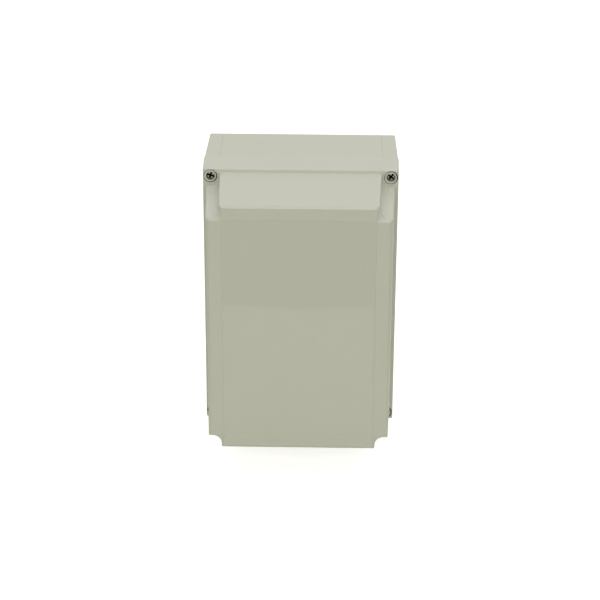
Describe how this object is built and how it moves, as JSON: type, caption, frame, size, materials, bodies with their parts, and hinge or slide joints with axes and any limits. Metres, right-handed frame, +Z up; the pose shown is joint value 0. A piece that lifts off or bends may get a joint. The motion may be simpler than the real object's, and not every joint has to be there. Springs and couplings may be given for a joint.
{
  "type": "dc combiner box",
  "caption": "Wall-mounted photovoltaic DC combiner enclosure with lift-off cover, hinged fuse carriers, tied breaker toggle, pull-out surge modules and cable glands.",
  "frame": {"origin": "centre of the base's back face, on the wall", "axes": "+X right seen from the front, +Y back into the wall, +Z up"},
  "size_m": [0.18, 0.175, 0.2773],
  "materials": {
    "enclosure_plastic": "light grey moulded polycarbonate, fine satin texture with a glossier front panel area",
    "sleeve_plastic": "light grey moulded plastic",
    "gasket_rubber": "black foamed sealing rubber",
    "screw_steel": "plain steel",
    "insert_brass": "turned brass",
    "plate_steel": "zinc plated sheet",
    "rail_steel": "zinc plated rolled steel",
    "fixing_steel": "zinc plated",
    "stop_plastic": "dark grey nylon",
    "device_plastic": "light grey moulded thermoplastic",
    "carrier_plastic": "grey moulded thermoplastic",
    "fuse_ceramic": "white ceramic body with nickel plated end caps",
    "contact_copper": "tinned copper alloy",
    "toggle_plastic": "black moulded plastic",
    "module_plastic": "orange moulded thermoplastic",
    "earth_plastic": "green and yellow nylon",
    "busbar_plastic": "dark grey insulation",
    "lead_red": "red wire insulation",
    "lead_black": "black wire insulation",
    "lead_green_yellow": "green and yellow wire insulation",
    "gland_nylon": "black nylon",
    "gland_rubber": "black rubber"
  },
  "bodies": {
    "enclosure": {"enclosure_base": "enclosure_plastic", "threaded_inserts": "insert_brass", "mounting_plate": "plate_steel", "din_rail_upper": "rail_steel", "din_rail_lower": "rail_steel", "plate_screws": "fixing_steel", "rail_screws": "fixing_steel", "fuse_terminal_screws": "fixing_steel", "breaker_terminal_screws": "fixing_steel", "spd_terminal_screws": "fixing_steel", "earth_terminal_screws": "fixing_steel", "rail_stops": "stop_plastic", "fuse_base_1": "device_plastic", "fuse_base_2": "device_plastic", "fuse_base_3": "device_plastic", "fuse_base_4": "device_plastic", "breaker_body": "device_plastic", "spd_base": "device_plastic", "fuse_clips": "contact_copper", "earth_terminal_1": "earth_plastic", "earth_terminal_2": "earth_plastic", "comb_busbar_positive": "busbar_plastic", "comb_busbar_negative": "busbar_plastic", "positive_leads": "lead_red", "negative_leads": "lead_black", "series_links": "lead_black", "earth_lead": "lead_green_yellow", "gland_bodies": "gland_nylon", "gland_locknuts": "gland_nylon", "gland_seals": "gland_rubber", "gland_washers": "gland_rubber"},
    "cover": {"enclosure_cover": "enclosure_plastic", "cover_gasket": "gasket_rubber", "screw_sleeves": "sleeve_plastic"},
    "cover_screw_1": {"cover_screw_1": "screw_steel"},
    "cover_screw_2": {"cover_screw_2": "screw_steel"},
    "cover_screw_3": {"cover_screw_3": "screw_steel"},
    "cover_screw_4": {"cover_screw_4": "screw_steel"},
    "fuse_carrier_1": {"fuse_carrier_1": "carrier_plastic", "fuse_link_1": "fuse_ceramic"},
    "fuse_carrier_2": {"fuse_carrier_2": "carrier_plastic", "fuse_link_2": "fuse_ceramic"},
    "fuse_carrier_3": {"fuse_carrier_3": "carrier_plastic", "fuse_link_3": "fuse_ceramic"},
    "fuse_carrier_4": {"fuse_carrier_4": "carrier_plastic", "fuse_link_4": "fuse_ceramic"},
    "breaker_toggle": {"breaker_toggle": "toggle_plastic"},
    "spd_module_1": {"spd_module_1": "module_plastic"},
    "spd_module_2": {"spd_module_2": "module_plastic"},
    "spd_module_3": {"spd_module_3": "module_plastic"},
    "gland_nut_1": {"gland_nut_1": "gland_nylon"},
    "gland_nut_2": {"gland_nut_2": "gland_nylon"},
    "gland_nut_3": {"gland_nut_3": "gland_nylon"},
    "gland_nut_4": {"gland_nut_4": "gland_nylon"},
    "gland_nut_5": {"gland_nut_5": "gland_nylon"},
    "gland_nut_6": {"gland_nut_6": "gland_nylon"},
    "gland_nut_7": {"gland_nut_7": "gland_nylon"}
  },
  "joints": [
    {"name": "cover_lift", "type": "slide", "parent": "enclosure", "child": "cover", "axis": [0, -1, 0], "range_m": [0, 0.2]},
    {"name": "cover_screw_1_turn", "type": "hinge", "parent": "cover", "child": "cover_screw_1", "pos_m": [-0.0823, -0.09, 0.1197], "axis": [0, 1, 0], "continuous": true},
    {"name": "cover_screw_2_turn", "type": "hinge", "parent": "cover", "child": "cover_screw_2", "pos_m": [0.0823, -0.09, 0.1197], "axis": [0, 1, 0], "continuous": true},
    {"name": "cover_screw_3_turn", "type": "hinge", "parent": "cover", "child": "cover_screw_3", "pos_m": [-0.0823, -0.09, -0.1197], "axis": [0, 1, 0], "continuous": true},
    {"name": "cover_screw_4_turn", "type": "hinge", "parent": "cover", "child": "cover_screw_4", "pos_m": [0.0823, -0.09, -0.1197], "axis": [0, 1, 0], "continuous": true},
    {"name": "fuse_carrier_1_hinge", "type": "hinge", "parent": "enclosure", "child": "fuse_carrier_1", "pos_m": [-0.0537, -0.066, -0.068], "axis": [1, 0, 0], "range_deg": [0, 85]},
    {"name": "fuse_carrier_2_hinge", "type": "hinge", "parent": "enclosure", "child": "fuse_carrier_2", "pos_m": [-0.0358, -0.066, -0.068], "axis": [1, 0, 0], "range_deg": [0, 85]},
    {"name": "fuse_carrier_3_hinge", "type": "hinge", "parent": "enclosure", "child": "fuse_carrier_3", "pos_m": [-0.0179, -0.066, -0.068], "axis": [1, 0, 0], "range_deg": [0, 85]},
    {"name": "fuse_carrier_4_hinge", "type": "hinge", "parent": "enclosure", "child": "fuse_carrier_4", "pos_m": [0, -0.066, -0.068], "axis": [1, 0, 0], "range_deg": [0, 85]},
    {"name": "breaker_switch", "type": "hinge", "parent": "enclosure", "child": "breaker_toggle", "pos_m": [-0.02685, -0.068, 0.067], "axis": [1, 0, 0], "range_deg": [0, 70]},
    {"name": "spd_module_1_pull", "type": "slide", "parent": "enclosure", "child": "spd_module_1", "axis": [0, -1, 0], "range_m": [0, 0.05]},
    {"name": "spd_module_2_pull", "type": "slide", "parent": "enclosure", "child": "spd_module_2", "axis": [0, -1, 0], "range_m": [0, 0.05]},
    {"name": "spd_module_3_pull", "type": "slide", "parent": "enclosure", "child": "spd_module_3", "axis": [0, -1, 0], "range_m": [0, 0.05]},
    {"name": "gland_nut_1_turn", "type": "hinge", "parent": "enclosure", "child": "gland_nut_1", "pos_m": [-0.054, -0.048, -0.14], "axis": [0, 0, -1], "continuous": true},
    {"name": "gland_nut_2_turn", "type": "hinge", "parent": "enclosure", "child": "gland_nut_2", "pos_m": [-0.018, -0.048, -0.14], "axis": [0, 0, -1], "continuous": true},
    {"name": "gland_nut_3_turn", "type": "hinge", "parent": "enclosure", "child": "gland_nut_3", "pos_m": [0.018, -0.048, -0.14], "axis": [0, 0, -1], "continuous": true},
    {"name": "gland_nut_4_turn", "type": "hinge", "parent": "enclosure", "child": "gland_nut_4", "pos_m": [0.054, -0.048, -0.14], "axis": [0, 0, -1], "continuous": true},
    {"name": "gland_nut_5_turn", "type": "hinge", "parent": "enclosure", "child": "gland_nut_5", "pos_m": [-0.036, -0.02, -0.14], "axis": [0, 0, -1], "continuous": true},
    {"name": "gland_nut_6_turn", "type": "hinge", "parent": "enclosure", "child": "gland_nut_6", "pos_m": [0, -0.02, -0.14], "axis": [0, 0, -1], "continuous": true},
    {"name": "gland_nut_7_turn", "type": "hinge", "parent": "enclosure", "child": "gland_nut_7", "pos_m": [0.036, -0.02, -0.14], "axis": [0, 0, -1], "continuous": true}
  ]
}
